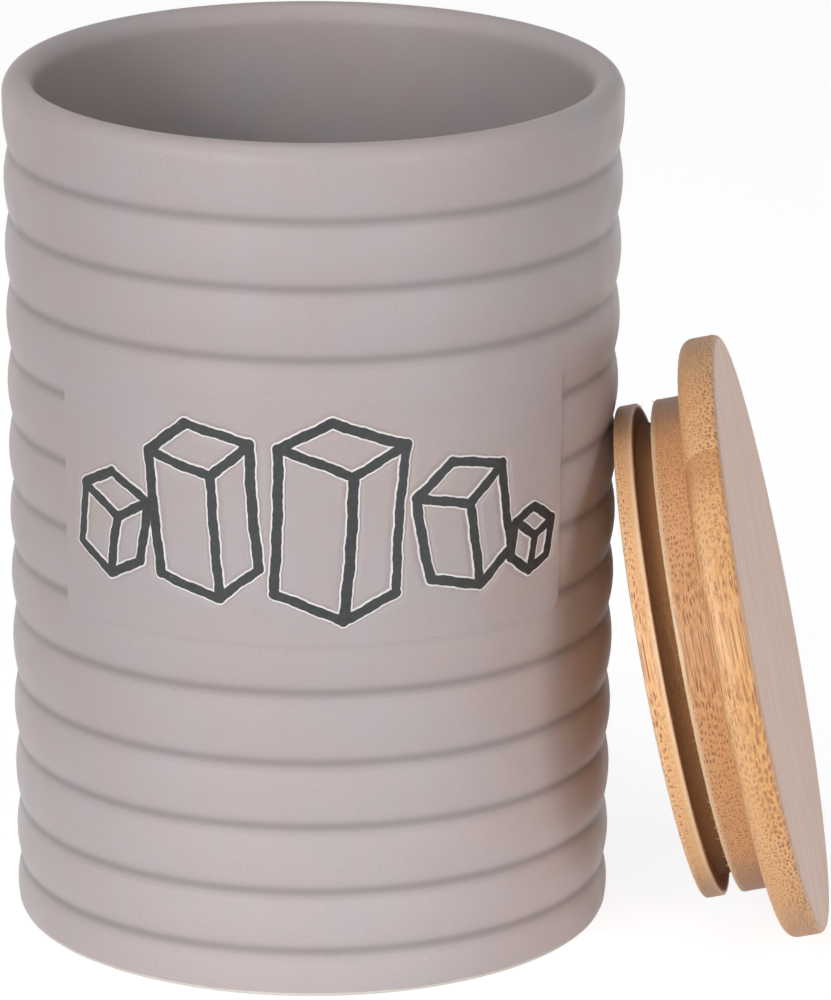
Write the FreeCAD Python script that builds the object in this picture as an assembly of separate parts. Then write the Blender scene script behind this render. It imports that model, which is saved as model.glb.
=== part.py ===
import FreeCAD, Part
import math
import os

# Ribbed ceramic salt canister with a turned bamboo lid that leans on its side.
# Millimetres, +Z up. The origin is on the jar's axis, in the plane that the foot stands on.
# The smooth label panel faces -Y and the lid leans on the +X side.

# Jar, outside
JAR_HEIGHT = 142.2
LIP_RADIUS = 50.7  # cone through the rib crests, at the lip
FOOT_RADIUS = 49.4  # the same cone, at the foot
RIM_BAND = 12.25  # lip to first groove
BASE_BAND = 7.8  # foot to last groove
RIB_COUNT = 11
LOWEST_RIB_SHARE = 0.92  # height of the lowest rib, of an even one
GROOVE_DEPTH = 0.85
RIM_SHOULDER_SHARE = 0.6  # where the rim band reaches the cone, of its height below the rounded lip
BASE_CREST_SHARE = 0.45  # where the base band reaches the cone, of its height
FOOT_SETBACK = 0.4  # how far the foot's edge stands inside the cone

# Jar, lip and inside
JAR_WALL = 5.3
LIP_DEPTH = 3.5  # height of the rounded lip
LIP_CREST_SHARE = 0.5  # where the lip's highest line lies, of the wall, from the inside
OVAL_SHARE = 0.5523  # handle of a curve that follows a quarter of an oval, of the oval's reach
MOUTH_DEPTH = 25.0  # straight part of the mouth, from the lip
FLOOR_THICKNESS = 6.0
INNER_CORNER = 6.0
FOOT_RING_WIDTH = 5.0
FOOT_RECESS = 1.0

# Label panel
PANEL_WIDTH = 92.5  # along the curve
PANEL_ABOVE_COUNT = 3  # grooves above the panel, which starts at the next rib's crest
PANEL_GROOVE_COUNT = 4  # grooves that the panel interrupts
PANEL_SKIRT = 2.9  # lower edge, under the last groove that it interrupts
PANEL_PROUD = 0.1
PANEL_TURN = 1.0  # degrees from -Y towards +X

# Lid
LID_INSET = 0.6  # lid's edge inside the lip's edge
LID_TOP_THICKNESS = 6.25
LID_TOP_ROUND = 1.1
LID_UNDER_ROUND = 1.9
PLUG_CLEARANCE = 4.2  # plug to mouth, at the radius
NECK_LENGTH = 5.95
RING_GROOVE_WIDTH = 3.1
RING_GROOVE_DEPTH = 3.5
FLANGE_THICKNESS = 3.1
FLANGE_CHAMFER = 0.4

# Bamboo strips
STRIP_WIDTH_SHARE = 0.39  # full strip, of the lid's radius; a ply's two outer strips take what is left
TOP_STRIP_COUNT = 6
NECK_STRIP_COUNT = 5
FLANGE_STRIP_COUNT = 4

# Leaning pose
LEAN_TILT = 12.2  # degrees from upright
LEAN_TURN = -3.8  # degrees from +X, where the lid's top faces
LEAN_OFFSET = 5.9  # lid's axis in front of the jar's axis
LEAN_SPIN = -16.8  # degrees about the lid's own axis, from fibres that point up the slope
LEAN_CLEARANCE = 0.4  # flange's edge to the rib that it leans on

MOUTH_RADIUS = LIP_RADIUS - JAR_WALL
LID_RADIUS = LIP_RADIUS - LID_INSET
PLUG_RADIUS = MOUTH_RADIUS - PLUG_CLEARANCE
STRIP_WIDTH = LID_RADIUS * STRIP_WIDTH_SHARE
NECK_END = LID_TOP_THICKNESS + NECK_LENGTH
GROOVE_END = NECK_END + RING_GROOVE_WIDTH
LID_DEPTH = GROOVE_END + FLANGE_THICKNESS

ORIGIN = FreeCAD.Vector(0, 0, 0)
UP = FreeCAD.Vector(0, 0, 1)
FULL_TURN = 360.0
QUARTER = math.sqrt(0.5)


def section(radius, height):
    """A point of a turned piece's half section."""
    return FreeCAD.Vector(radius, 0, height)


def line(start, end):
    return Part.LineSegment(start, end).toShape()


def arc(start, middle, end):
    return Part.Arc(start, middle, end).toShape()


def corner(radius, height, round_radius, side_r, side_z):
    """The middle of a rounded corner whose square corner is at radius, height.

    side_r and side_z are 1 or -1 and point from the round's centre to the corner.
    """
    inset = round_radius * (1 - QUARTER)
    return section(radius - side_r * inset, height - side_z * inset)


def turn(edges, degrees=FULL_TURN):
    face = Part.Face(Part.Wire(edges))
    return face.revolve(ORIGIN, UP, degrees)


def crest_radius(height):
    """Radius of the cone that the rib crests touch."""
    return FOOT_RADIUS + (LIP_RADIUS - FOOT_RADIUS) * height / JAR_HEIGHT


def groove_heights():
    """Heights of the grooves from the top down: even ribs, then a lower rib, then the base band."""
    top = JAR_HEIGHT - RIM_BAND
    pitch = (top - BASE_BAND) / (RIB_COUNT - 1 + LOWEST_RIB_SHARE)
    return [top - i * pitch for i in range(RIB_COUNT)] + [BASE_BAND]


def rib_radius(height):
    """Radius of the ribbed wall, with each rib taken as a parabola between its grooves."""
    grooves = groove_heights()
    for high, low in zip(grooves, grooves[1:]):
        if low <= height <= high:
            off_crest = (2 * height - high - low) / (high - low)
            return crest_radius(height) - GROOVE_DEPTH * off_crest ** 2
    return crest_radius(height)


def groove_point(height):
    return section(crest_radius(height) - GROOVE_DEPTH, height)


def crest_point(height):
    return section(crest_radius(height), height)


def outside_edges(lip_start):
    """The jar's outline from the foot's edge up to the start of the lip's round."""
    grooves = groove_heights()
    foot = section(FOOT_RADIUS - FOOT_SETBACK, 0)
    edges = [arc(foot, crest_point(BASE_BAND * BASE_CREST_SHARE), groove_point(BASE_BAND))]
    rising = grooves[::-1]
    for low, high in zip(rising, rising[1:]):
        crest = crest_point((low + high) / 2)
        edges.append(arc(groove_point(low), crest, groove_point(high)))
    shoulder = crest_point(grooves[0] + (RIM_BAND - LIP_DEPTH) * RIM_SHOULDER_SHARE)
    edges.append(arc(groove_point(grooves[0]), shoulder, lip_start))
    return edges


def lip_curve(side, crest):
    """A quarter of an oval, from one side of the wall to the lip's highest line."""
    rise = (crest.z - side.z) * OVAL_SHARE
    reach = (side.x - crest.x) * OVAL_SHARE
    curve = Part.BezierCurve()
    curve.setPoles([side, section(side.x, side.z + rise), section(crest.x + reach, crest.z), crest])
    return curve.toShape()


def jar_shell():
    lip_start = section(LIP_RADIUS, JAR_HEIGHT - LIP_DEPTH)
    lip_crest = section(MOUTH_RADIUS + JAR_WALL * LIP_CREST_SHARE, JAR_HEIGHT)
    bore_top = section(MOUTH_RADIUS, JAR_HEIGHT - LIP_DEPTH)
    bore_end = section(MOUTH_RADIUS, JAR_HEIGHT - MOUTH_DEPTH)
    foot_height = FLOOR_THICKNESS + INNER_CORNER
    foot_bore = crest_radius(foot_height) - JAR_WALL
    wall_foot = section(foot_bore, foot_height)
    floor_edge = section(foot_bore - INNER_CORNER, FLOOR_THICKNESS)
    floor_centre = section(0, FLOOR_THICKNESS)
    recess_centre = section(0, FOOT_RECESS)
    ring_radius = FOOT_RADIUS - FOOT_SETBACK - FOOT_RING_WIDTH
    recess_edge = section(ring_radius, FOOT_RECESS)
    ring_edge = section(ring_radius, 0)
    foot_edge = section(FOOT_RADIUS - FOOT_SETBACK, 0)
    edges = [
        line(recess_centre, recess_edge),
        line(recess_edge, ring_edge),
        line(ring_edge, foot_edge),
    ]
    edges += outside_edges(lip_start)
    edges += [
        lip_curve(lip_start, lip_crest),
        lip_curve(bore_top, lip_crest),
        line(bore_top, bore_end),
        line(bore_end, wall_foot),
        arc(wall_foot, corner(foot_bore, FLOOR_THICKNESS, INNER_CORNER, 1, -1), floor_edge),
        line(floor_edge, floor_centre),
        line(floor_centre, recess_centre),
    ]
    return turn(edges)


def label_panel():
    """A smooth patch at the crests' level that fills the grooves behind the label."""
    grooves = groove_heights()
    top = (grooves[PANEL_ABOVE_COUNT - 1] + grooves[PANEL_ABOVE_COUNT]) / 2
    bottom = grooves[PANEL_ABOVE_COUNT + PANEL_GROOVE_COUNT - 1] - PANEL_SKIRT
    root = (crest_radius(bottom) + MOUTH_RADIUS) / 2
    corners = [
        section(root, bottom),
        section(crest_radius(bottom) + PANEL_PROUD, bottom),
        section(crest_radius(top) + PANEL_PROUD, top),
        section(root, top),
    ]
    edges = [line(p, q) for p, q in zip(corners, corners[1:] + corners[:1])]
    span = math.degrees(PANEL_WIDTH / crest_radius((top + bottom) / 2))
    patch = turn(edges, span)
    front = -FULL_TURN / 4
    patch.rotate(ORIGIN, UP, front + PANEL_TURN - span / 2)
    return patch


def jar_body():
    return jar_shell().fuse(label_panel()).removeSplitter()


def lid_top():
    """The upper ply, with its rounded edges. The lid's own frame has Z = 0 on the top face."""
    under = -LID_TOP_THICKNESS
    edges = [
        line(section(0, under), section(LID_RADIUS - LID_UNDER_ROUND, under)),
        arc(
            section(LID_RADIUS - LID_UNDER_ROUND, under),
            corner(LID_RADIUS, under, LID_UNDER_ROUND, 1, -1),
            section(LID_RADIUS, under + LID_UNDER_ROUND),
        ),
        line(section(LID_RADIUS, under + LID_UNDER_ROUND), section(LID_RADIUS, -LID_TOP_ROUND)),
        arc(
            section(LID_RADIUS, -LID_TOP_ROUND),
            corner(LID_RADIUS, 0, LID_TOP_ROUND, 1, 1),
            section(LID_RADIUS - LID_TOP_ROUND, 0),
        ),
        line(section(LID_RADIUS - LID_TOP_ROUND, 0), section(0, 0)),
        line(section(0, 0), section(0, under)),
    ]
    return turn(edges)


def lid_neck():
    """The middle ply, a plain disc that fills most of the mouth."""
    return Part.makeCylinder(PLUG_RADIUS, NECK_LENGTH, section(0, -NECK_END), UP)


def lid_flange():
    """The lower ply, with an empty ring groove above a thin flange."""
    core = PLUG_RADIUS - RING_GROOVE_DEPTH
    end = -LID_DEPTH
    edges = [
        line(section(0, end), section(PLUG_RADIUS - FLANGE_CHAMFER, end)),
        line(section(PLUG_RADIUS - FLANGE_CHAMFER, end), section(PLUG_RADIUS, end + FLANGE_CHAMFER)),
        line(section(PLUG_RADIUS, end + FLANGE_CHAMFER), section(PLUG_RADIUS, -GROOVE_END)),
        line(section(PLUG_RADIUS, -GROOVE_END), section(core, -GROOVE_END)),
        line(section(core, -GROOVE_END), section(core, -NECK_END)),
        line(section(core, -NECK_END), section(0, -NECK_END)),
        line(section(0, -NECK_END), section(0, end)),
    ]
    return turn(edges)


def strips(ply, radius, count):
    """A ply cut along its glue joints. The fibres run along the lid's own X."""
    middle = (count - 2) / 2
    joints = [(i - middle) * STRIP_WIDTH for i in range(count - 1)]
    reach = radius + STRIP_WIDTH
    length = 2 * reach
    cut = []
    for low, high in zip([-reach] + joints, joints + [reach]):
        block = Part.makeBox(length, high - low, length, FreeCAD.Vector(-reach, low, -reach))
        cut.append(ply.common(block))
    return cut


def leaning_placement():
    """The lid stands on its rounded lower edge and its flange leans on a rib, but for a clearance."""
    tilt = math.radians(LEAN_TILT)
    turn_angle = math.radians(LEAN_TURN)
    facing = FreeCAD.Vector(math.cos(turn_angle), math.sin(turn_angle), 0)
    aside = FreeCAD.Vector(-math.sin(turn_angle), math.cos(turn_angle), 0)
    normal = facing * math.cos(tilt) + UP * math.sin(tilt)
    slope = UP * math.cos(tilt) - facing * math.sin(tilt)
    across = normal.cross(slope)
    spin = math.radians(LEAN_SPIN)
    fibre = slope * math.cos(spin) + across * math.sin(spin)
    side = across * math.cos(spin) - slope * math.sin(spin)
    stand = LID_RADIUS - LID_UNDER_ROUND
    lift = math.sin(tilt) * (LID_TOP_THICKNESS - LID_UNDER_ROUND) + math.cos(tilt) * stand + LID_UNDER_ROUND
    touch = math.sqrt(PLUG_RADIUS ** 2 - LEAN_OFFSET ** 2)
    touch_height = lift - math.sin(tilt) * LID_DEPTH + math.cos(tilt) * touch
    reach = rib_radius(touch_height) + LEAN_CLEARANCE
    reach += math.cos(tilt) * LID_DEPTH + math.sin(tilt) * touch
    centre = facing * reach - aside * LEAN_OFFSET + UP * lift
    matrix = FreeCAD.Matrix(
        fibre.x, side.x, normal.x, centre.x,
        fibre.y, side.y, normal.y, centre.y,
        fibre.z, side.z, normal.z, centre.z,
        0, 0, 0, 1,
    )
    return FreeCAD.Placement(matrix)


def export(name, shape):
    shape.exportStep("parts/" + name + ".step")


def main():
    os.makedirs("parts", exist_ok=True)
    export("jar_body", jar_body())
    lean = leaning_placement()
    plies = [
        ("lid_top_strip", lid_top(), LID_RADIUS, TOP_STRIP_COUNT),
        ("lid_neck_strip", lid_neck(), PLUG_RADIUS, NECK_STRIP_COUNT),
        ("lid_flange_strip", lid_flange(), PLUG_RADIUS, FLANGE_STRIP_COUNT),
    ]
    for name, ply, radius, count in plies:
        for number, strip in enumerate(strips(ply, radius, count), start=1):
            strip.Placement = lean.multiply(strip.Placement)
            export(name + "_" + str(number), strip)


main()
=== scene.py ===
import math
from types import SimpleNamespace

import bmesh
import bpy
import numpy as np
from mathutils import Matrix, Vector


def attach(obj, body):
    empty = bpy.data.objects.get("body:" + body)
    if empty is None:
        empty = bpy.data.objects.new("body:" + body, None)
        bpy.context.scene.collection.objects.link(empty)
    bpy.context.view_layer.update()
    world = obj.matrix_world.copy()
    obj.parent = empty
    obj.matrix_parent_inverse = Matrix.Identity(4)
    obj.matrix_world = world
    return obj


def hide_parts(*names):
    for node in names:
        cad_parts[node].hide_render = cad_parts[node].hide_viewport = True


# Ribbed ceramic canister with a smooth label panel, and its bamboo plug lid leaning on its side.
# Lengths are millimetres, turned into metres where a mesh is made, unless a comment says otherwise.

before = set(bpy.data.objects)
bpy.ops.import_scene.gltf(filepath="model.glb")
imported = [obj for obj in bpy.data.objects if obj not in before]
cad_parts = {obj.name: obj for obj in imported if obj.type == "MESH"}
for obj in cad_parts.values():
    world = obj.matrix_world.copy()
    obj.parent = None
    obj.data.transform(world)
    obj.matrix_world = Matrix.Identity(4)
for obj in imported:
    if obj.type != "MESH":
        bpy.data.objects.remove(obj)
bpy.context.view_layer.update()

MM = 0.001
SOFT_DEGREES = 60  # edges that are sharper than this aren't smoothed
CRISP_DEGREES = 40
CUT_TOLERANCE = 1e-7  # metres
RANDOM = np.random.default_rng(11)

# Jar, outside
JAR_HEIGHT = 142.2
LIP_RADIUS = 50.7  # cone through the rib crests, at the lip
FOOT_RADIUS = 49.4  # the same cone, at the foot
GROOVES = (129.94, 118.91, 107.28, 95.76, 84.48, 73.3, 62.4, 51.95, 40.01, 29.11, 18.0, 7.77)
GROOVE_DEPTH = 0.85
GROOVE_SOFTNESS = 0.42  # how far the glaze rounds a groove's bottom
RIM_SHOULDER = 6.0  # from the first groove up to where the rim band reaches the cone
BASE_CREST = 3.5  # height at which the base band reaches the cone
FOOT_SETBACK = 0.42  # how far the foot's edge stands inside the cone
CAST_WAVE = 0.07  # unevenness of the cast wall
WAVE_FOOT_FADE = 6.0
WAVE_LIP_FADE = 7.7
GROOVE_SHADE_REACH = 0.9  # how far the painted shade spreads from a groove
FLOOR_LIGHT_HEIGHT = 70.0  # below this the glaze is painted paler towards the foot, as painted light bounced up from the floor

# Jar, lip, inside and foot
JAR_WALL = 5.3
LIP_DEPTH = 3.5  # height of the rounded lip
LIP_SIDE = JAR_HEIGHT - LIP_DEPTH
LIP_CREST_RADIUS = LIP_RADIUS - JAR_WALL / 2
LIP_ROWS = 13
MOUTH_RADIUS = LIP_RADIUS - JAR_WALL
MOUTH_DEPTH = 25.0
MOUTH_END = JAR_HEIGHT - MOUTH_DEPTH
MOUTH_LEVELS = (136.0, 130.0, 124.0, MOUTH_END)
INNER_LEVELS = (92.0, 65.0, 38.0)
INNER_FOOT_RADIUS = 44.21
INNER_CORNER = 6.0
INNER_CORNER_ROWS = 6
FLOOR_HEIGHT = 6.0
FOOT_RING_WIDTH = 5.0
FOOT_RECESS = 1.0
FOOT_ROUND = 0.5
BARE_HEIGHT = 0.5  # unglazed at the foot

# Rows and columns of the jar's outside
ROW_START = 0.8
ROW_STEPS = (0.3, 1.7)  # closest and widest
ROW_STEP_IN_GROOVE = 0.28
ROW_GROWTH_SHARE = 0.34  # of the distance from a groove
ROW_END_GAP = 0.4
PANEL_ROW_STEP = 0.5
PANEL_ROW_MARGINS = (1.5, 0.5)  # below and above the panel
PANEL_REACH = math.radians(57.0)
FRONT_COLUMNS = 228
BACK_COLUMNS = 196

# Label panel
PANEL_TOP = 101.6
PANEL_BOTTOM = 59.9
PANEL_MIDDLE = (PANEL_TOP + PANEL_BOTTOM) / 2
PANEL_HALF_WIDTH = 46.25
PANEL_TURN = math.radians(1.0)
PANEL_PROUD = 0.1
PANEL_CORNER = 2.4
PANEL_EDGE = 0.42

# Label motif: a row of coarse salt crystals, each a block seen corner on
# Each: middle along the panel, middle above the panel's middle, width, height, slant share,
# share of the height that the top takes, turn in degrees
CRYSTALS = (
    (-35.0, -3.5, 13.0, 17.0, 0.30, 0.42, -8.0),
    (-18.0, 1.0, 17.5, 29.0, 0.24, 0.30, 5.0),
    (4.0, 0.0, 20.5, 33.0, 0.27, 0.27, -3.0),
    (25.5, -2.0, 16.0, 22.0, 0.33, 0.36, 9.0),
    (38.8, -7.0, 8.6, 10.5, 0.30, 0.45, -12.0),
)
LINE_WIDTH = 1.7
LINE_WIDTH_SHARES = (0.88, 1.04)
LINE_BEND_SHARE = 0.018  # of a line's length
LINE_SWAY = 0.06
LINE_WOBBLES = (0.05, 0.035)
LINE_STEP = 0.45
LINE_LEVEL = -0.02  # stain, from the panel's face
LINE_BED = -0.75
LINE_ROUND = 0.05
LINE_END_ROWS = 9
HALO_WIDTH = 0.27
HALO_LEVEL = -0.05
CUT_DEPTH = 0.34
CUT_SLOPE = (0.8, 0.22)  # from a line's edge to where its cut starts and ends
FAR = 1000.0
NEAR_MARGIN = 3.0
LEVEL_SHIFT = 0.002  # between lines that cross, so that no two faces coincide
LEVEL_COUNT = 5

# Lid, in its own frame: X along the fibres, Y across, Z out of the top face
LID_CENTRE = (75.974, -10.959, 49.931)
LID_TILT = math.radians(12.2)
LID_TURN = math.radians(-3.8)
LID_SPIN = math.radians(-16.8)
LID_RADIUS = 50.09
LID_THICKNESS = 6.25
LID_TOP_ROUND = 1.1
LID_UNDER_ROUND = 1.9
LID_ROUND_ROWS = 7
LID_SEGMENTS = 400
PLUG_RADIUS = 41.2
NECK_END = 12.2
CORE_RADIUS = 37.7
GROOVE_END = 15.3
LID_DEPTH = 18.4
EDGE_ROUND = 0.3
EDGE_FADE = 0.8  # reach of the pale, rough edge on a flat face, pale from loose fibres and a painted highlight
EDGE_ROWS = 4
EDGE_NICK = 0.025
FLANGE_ROUND = 0.4
STRIP_WIDTH = 19.539
STRIP_GAP = 0.004
TOP_STRIPS = 6
NECK_STRIPS = 5
FLANGE_STRIPS = 4

# Rows of the lid's plies
FACE_RINGS = (8.0, 18.0, 28.0, 38.0, 46.0)
RIM_LEVELS = (-2.2, -3.4)
UNDER_RINGS = (44.0, 38.0, 20.0)
NECK_TOP_RINGS = (20.0, 38.0, PLUG_RADIUS)
NECK_LEVELS = (-7.0, -8.5, -10.0, -11.2)
NECK_END_RINGS = (39.0, 20.0)
FLANGE_TOP_RINGS = (20.0, CORE_RADIUS)
CORE_LEVELS = (-13.8, -GROOVE_END)
LEDGE_RINGS = (39.0,)
FLANGE_LEVELS = (-16.2, -17.0, -17.7)
PLUG_END_RINGS = (30.0, 15.0)

# Bamboo
PLY_SLACK = 0.02
JOINT_BOW = 0.9  # how far the rim's glue joint leans towards the underside
FACE_MARGIN = 0.6  # from the top ply's faces, where its bundles stop growing
RIM_FADE = (-0.5, -1.2)  # depths between which the rim's long streaks start
FLANGE_FADE = (-16.3, -17.4)  # depths between which the flange's dots grow strong
FACE_BAND = (-3.9, -2.4)  # depths between which the outer strips' large bundles start
JOINT_FADE = (45.5, 41.0)  # from the axis, where the outer strips redden towards their joint
HALF_FADE = 6.0  # how softly the lid's lower half passes to its upper half
FACE_FADE = (-0.5, -0.1)  # depths between which the rim turns into the sanded face and its painted sheen
GROOVE_FADE = (0.3, 1.1)  # inside the plug's radius, where the painted shade of the ring groove starts

# Loose fibres
HAIR_COUNT = 260
HAIR_SINK = 0.14
HAIR_ROOT = 0.05
HAIR_SHORTEST = 0.16
HAIR_GROWTH = 0.75
HAIR_THICKNESS = (0.025, 0.05)
HAIR_SIDES = 3
HAIR_LOWER_SHARE = 0.25  # of the fibres, on the flange's edge

# Stage, in metres
FLOOR_HALF = 6.0
FLOOR_DROP = 0.0001
SHEET_EDGE = (0.22, 0.45)
BACKGROUND_WHITE = 0.88
AMBIENT = 0.03
ZENITH = 0.05
HORIZON_FADE = (0.1, 0.8)
LAMP_AIM = (0.02, 0.0, 0.07)
LAMP_DISTANCE = 1.5
COOL_WHITE = (0.98, 0.99, 1.0)
WHITE = (1.0, 1.0, 1.0)
# Each lamp: degrees from -Y towards +X, degrees up, width, height, watts, colour
LAMPS = {
    "left_low": (-27.0, 13.0, 0.8, 0.5, 6.6, COOL_WHITE),
    "right_low": (36.0, 11.0, 0.6, 0.5, 5.0, COOL_WHITE),
    "left_box": (-45.0, 27.0, 0.4, 0.3, 4.9, COOL_WHITE),
    "right_box": (38.0, 27.0, 0.3, 0.3, 2.6, COOL_WHITE),
    "top": (-30.0, 76.0, 0.9, 0.9, 5.8, WHITE),
}

# Camera at the photograph's place, in metres
CAMERA_PLACE = (0.01643, -1.1099, 0.4157)
CAMERA_PITCH = math.radians(90.0 - 17.352)
CAMERA_ROLL = math.radians(0.328)
CAMERA_SENSOR = 36.0  # millimetres, and so is the lens
CAMERA_LENS = 252.875
CAMERA_SHIFT = (0.0033, 0.0008)
CAMERA_CLIP = (0.01, 50.0)


def lid_matrix():
    facing = Vector((math.cos(LID_TURN), math.sin(LID_TURN), 0.0))
    up = Vector((0.0, 0.0, 1.0))
    normal = facing * math.cos(LID_TILT) + up * math.sin(LID_TILT)
    slope = up * math.cos(LID_TILT) - facing * math.sin(LID_TILT)
    across = normal.cross(slope)
    fibre = slope * math.cos(LID_SPIN) + across * math.sin(LID_SPIN)
    side = across * math.cos(LID_SPIN) - slope * math.sin(LID_SPIN)
    matrix = Matrix((fibre, side, normal)).transposed().to_4x4()
    matrix.translation = Vector(LID_CENTRE) * MM
    return matrix


LID_PLACE = lid_matrix()


def smoothstep(low, high, value):
    t = np.clip((value - low) / (high - low), 0.0, 1.0)
    return t * t * (3.0 - 2.0 * t)


def link(name, data):
    item = bpy.data.objects.new(name, data)
    bpy.context.scene.collection.objects.link(item)
    return item


def make_object(name, points, faces, attributes=None):
    """A mesh object from points in millimetres, with one float per point for each attribute."""
    mesh = bpy.data.meshes.new(name)
    mesh.from_pydata([tuple(p) for p in np.asarray(points, float) * MM], [], faces)
    for key, values in (attributes or {}).items():
        layer = mesh.attributes.new(key, "FLOAT", "POINT")
        layer.data.foreach_set("value", np.asarray(values, np.float32))
    mesh.validate()
    mesh.update()
    return link(name, mesh)


def tube_faces(rows, columns):
    """Quads around a closed tube, row by row."""
    faces = []
    for i in range(rows - 1):
        low = i * columns
        high = low + columns
        for j in range(columns):
            k = (j + 1) % columns
            faces.append((low + j, low + k, high + k, high + j))
    return faces


def set_on_lid(item):
    """Keeps each point's place in the lid's frame for the material, then moves the mesh to the lid."""
    mesh = item.data
    places = np.zeros(len(mesh.vertices) * 3, np.float32)
    mesh.vertices.foreach_get("co", places)
    layer = mesh.attributes.new("lid_place", "FLOAT_VECTOR", "POINT")
    layer.data.foreach_set("vector", places / MM)
    mesh.transform(LID_PLACE)
    mesh.materials.append(BAMBOO)
    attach(item, "lid")


def shade(item, sharp_degrees):
    mesh = item.data
    mesh.polygons.foreach_set("use_smooth", [True] * len(mesh.polygons))
    mesh.set_sharp_from_angle(angle=math.radians(sharp_degrees))


class Nodes:
    """Short forms for building the node tree of a material or a world."""

    def __init__(self, owner):
        owner.use_nodes = True
        self.owner = owner
        self.tree = owner.node_tree
        self.tree.nodes.clear()

    def add(self, kind, inputs=None, **settings):
        node = self.tree.nodes.new(kind)
        for key, value in settings.items():
            setattr(node, key, value)
        for key, value in (inputs or {}).items():
            if isinstance(value, bpy.types.NodeSocket):
                self.tree.links.new(value, node.inputs[key])
            else:
                node.inputs[key].default_value = value
        return node

    def math(self, operation, a, b=0.0, c=0.0, clamp=False):
        return self.add("ShaderNodeMath", {0: a, 1: b, 2: c}, operation=operation, use_clamp=clamp).outputs[0]

    def plus(self, a, b):
        return self.math("ADD", a, b)

    def minus(self, a, b):
        return self.math("SUBTRACT", a, b)

    def times(self, a, b):
        return self.math("MULTIPLY", a, b)

    def times_plus(self, a, b, c, clamp=False):
        return self.math("MULTIPLY_ADD", a, b, c, clamp)

    def vector(self, operation, a, b):
        return self.add("ShaderNodeVectorMath", {0: a, 1: b}, operation=operation).outputs[0]

    def measure(self, operation, a, b=(0.0, 0.0, 0.0)):
        return self.add("ShaderNodeVectorMath", {0: a, 1: b}, operation=operation).outputs["Value"]

    def combine(self, x, y, z):
        return self.add("ShaderNodeCombineXYZ", {0: x, 1: y, 2: z}).outputs[0]

    def split(self, vector):
        return self.add("ShaderNodeSeparateXYZ", {0: vector}).outputs

    def step(self, value, low, high, to_low=0.0, to_high=1.0):
        inputs = {"Value": value, "From Min": low, "From Max": high, "To Min": to_low, "To Max": to_high}
        return self.add("ShaderNodeMapRange", inputs, interpolation_type="SMOOTHSTEP").outputs[0]

    def mix(self, factor, a, b):
        return self.add("ShaderNodeMix", {0: factor, 6: a, 7: b}, data_type="RGBA").outputs[2]

    def tint(self, colour, other, where, share):
        return self.mix(self.times(where, share), colour, other)

    def noise(self, vector, scale, detail=2.0, roughness=0.5, output="Fac"):
        inputs = {"Vector": vector, "Scale": scale, "Detail": detail, "Roughness": roughness}
        return self.add("ShaderNodeTexNoise", inputs).outputs[output]

    def drawn_out(self, vector, scales, detail=2.0, roughness=0.5, output="Fac"):
        """Noise with a scale of its own along each axis."""
        return self.noise(self.vector("MULTIPLY", vector, scales), 1.0, detail, roughness, output)

    def cells(self, vector, scale, randomness):
        inputs = {"Vector": vector, "Scale": scale, "Randomness": randomness}
        return self.add("ShaderNodeTexVoronoi", inputs, voronoi_dimensions="2D").outputs

    def place(self):
        return self.add("ShaderNodeTexCoord").outputs["Object"]

    def attribute(self, name):
        return self.add("ShaderNodeAttribute", attribute_name=name).outputs["Fac"]

    def bump(self, height, strength, distance, normal=None):
        inputs = {"Height": height, "Strength": strength, "Distance": distance}
        if normal is not None:
            inputs["Normal"] = normal
        return self.add("ShaderNodeBump", inputs).outputs[0]

    def surface(self, inputs):
        """Ends the tree with a principled shader and gives the material back."""
        shader = self.add("ShaderNodeBsdfPrincipled", inputs).outputs[0]
        self.add("ShaderNodeOutputMaterial", {"Surface": shader})
        return self.owner


def material_nodes(name):
    return Nodes(bpy.data.materials.new(name))


def rgb(red, green, blue):
    return (red, green, blue, 1.0)


# Materials


def glaze_material():
    """Satin taupe glaze: soft mottling, fine specks, painted shade in the grooves, painted light from the
    floor towards the foot, bare clay at the foot.
    """
    n = material_nodes("satin_glaze")
    place = n.place()
    cloud = n.noise(place, 55.0, 3.0, 0.55)
    patch = n.noise(place, 210.0)
    speck = n.noise(place, 2100.0, 2.0, 0.6)
    colour = n.mix(n.step(cloud, 0.36, 0.64), rgb(0.455, 0.381, 0.372), rgb(0.438, 0.392, 0.402))
    colour = n.mix(n.step(patch, 0.42, 0.66, 0.0, 0.5), colour, rgb(0.462, 0.386, 0.376))
    # Painted light: the glaze grows paler towards the foot, standing in for light bounced up from the floor
    painted_floor_light = n.step(n.split(place)[2], FLOOR_LIGHT_HEIGHT * MM, 0.0, 0.0, 0.42)
    colour = n.mix(painted_floor_light, colour, rgb(0.62, 0.54, 0.54))
    colour = n.mix(n.step(speck, 0.40, 0.30, 0.0, 0.22), colour, rgb(0.30, 0.25, 0.24))
    colour = n.mix(n.step(speck, 0.62, 0.74, 0.0, 0.25), colour, rgb(0.60, 0.54, 0.53))
    spots = n.add("ShaderNodeTexVoronoi", {"Vector": place, "Scale": 240.0, "Randomness": 1.0}).outputs
    spot = n.times(n.step(spots["Distance"], 0.07, 0.03), n.step(spots["Color"], 0.93, 0.97))
    colour = n.tint(colour, rgb(0.16, 0.12, 0.11), spot, 0.55)
    # Painted shade: the glaze is darkened along the grooves, where the ribs shade each other
    colour = n.tint(colour, rgb(0.19, 0.165, 0.16), n.attribute("glaze_groove_shade"), 0.56)
    uneven = n.times(n.minus(patch, 0.5), 0.9)
    ragged = n.step(n.plus(n.attribute("bare"), uneven), 0.42, 0.56)
    colour = n.mix(ragged, colour, rgb(0.74, 0.70, 0.64))
    roughness = n.plus(n.step(patch, 0.3, 0.7, 0.42, 0.50), n.times(ragged, 0.4))
    normal = n.bump(patch, 0.10, 0.0006, n.bump(speck, 0.10, 0.0002))
    return n.surface({"Base Color": colour, "Roughness": roughness, "Normal": normal, "IOR": 1.36})


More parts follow.
